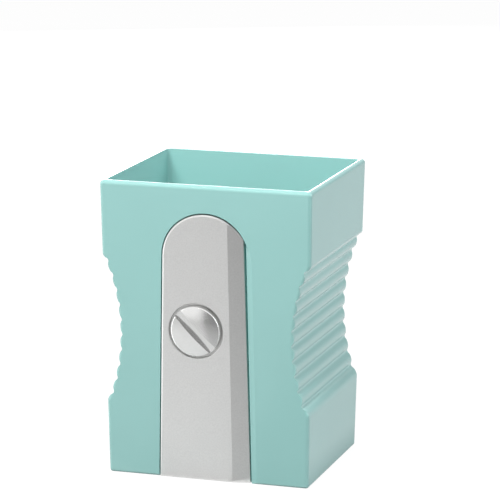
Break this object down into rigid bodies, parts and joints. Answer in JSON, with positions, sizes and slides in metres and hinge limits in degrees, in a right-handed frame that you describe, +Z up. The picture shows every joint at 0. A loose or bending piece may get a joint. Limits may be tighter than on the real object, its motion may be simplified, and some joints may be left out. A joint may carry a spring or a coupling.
{
  "type": "desk pencil pot",
  "caption": "Open-topped desk pencil pot shaped like a wedge sharpener, with ribbed waists, a bevelled blade plate on its front and a slotted screw that turns.",
  "frame": {"origin": "centre of the flat underside, on the table", "axes": "+Z up, the blade and screw face -Y, the blade's bevelled edge is towards +X"},
  "size_m": [0.0724, 0.0669, 0.1],
  "materials": {
    "mint_plastic": "semi-gloss moulded mint plastic",
    "silver_plate": "plastic with fine-grained satin silver paint",
    "silver_screw": "plastic with brighter satin metallised coat",
    "spring_steel": "plain spring steel sheet"
  },
  "bodies": {
    "pot": {"body_shell": "mint_plastic", "base_plate": "mint_plastic", "blade_plate": "silver_plate"},
    "screw": {"blade_screw": "silver_screw", "screw_retainer": "spring_steel"}
  },
  "joints": [
    {"name": "screw_turn", "type": "hinge", "parent": "pot", "child": "screw", "pos_m": [-0.0034, -0.0313, 0.05114], "axis": [0, -0.9992, -0.041], "continuous": true}
  ]
}
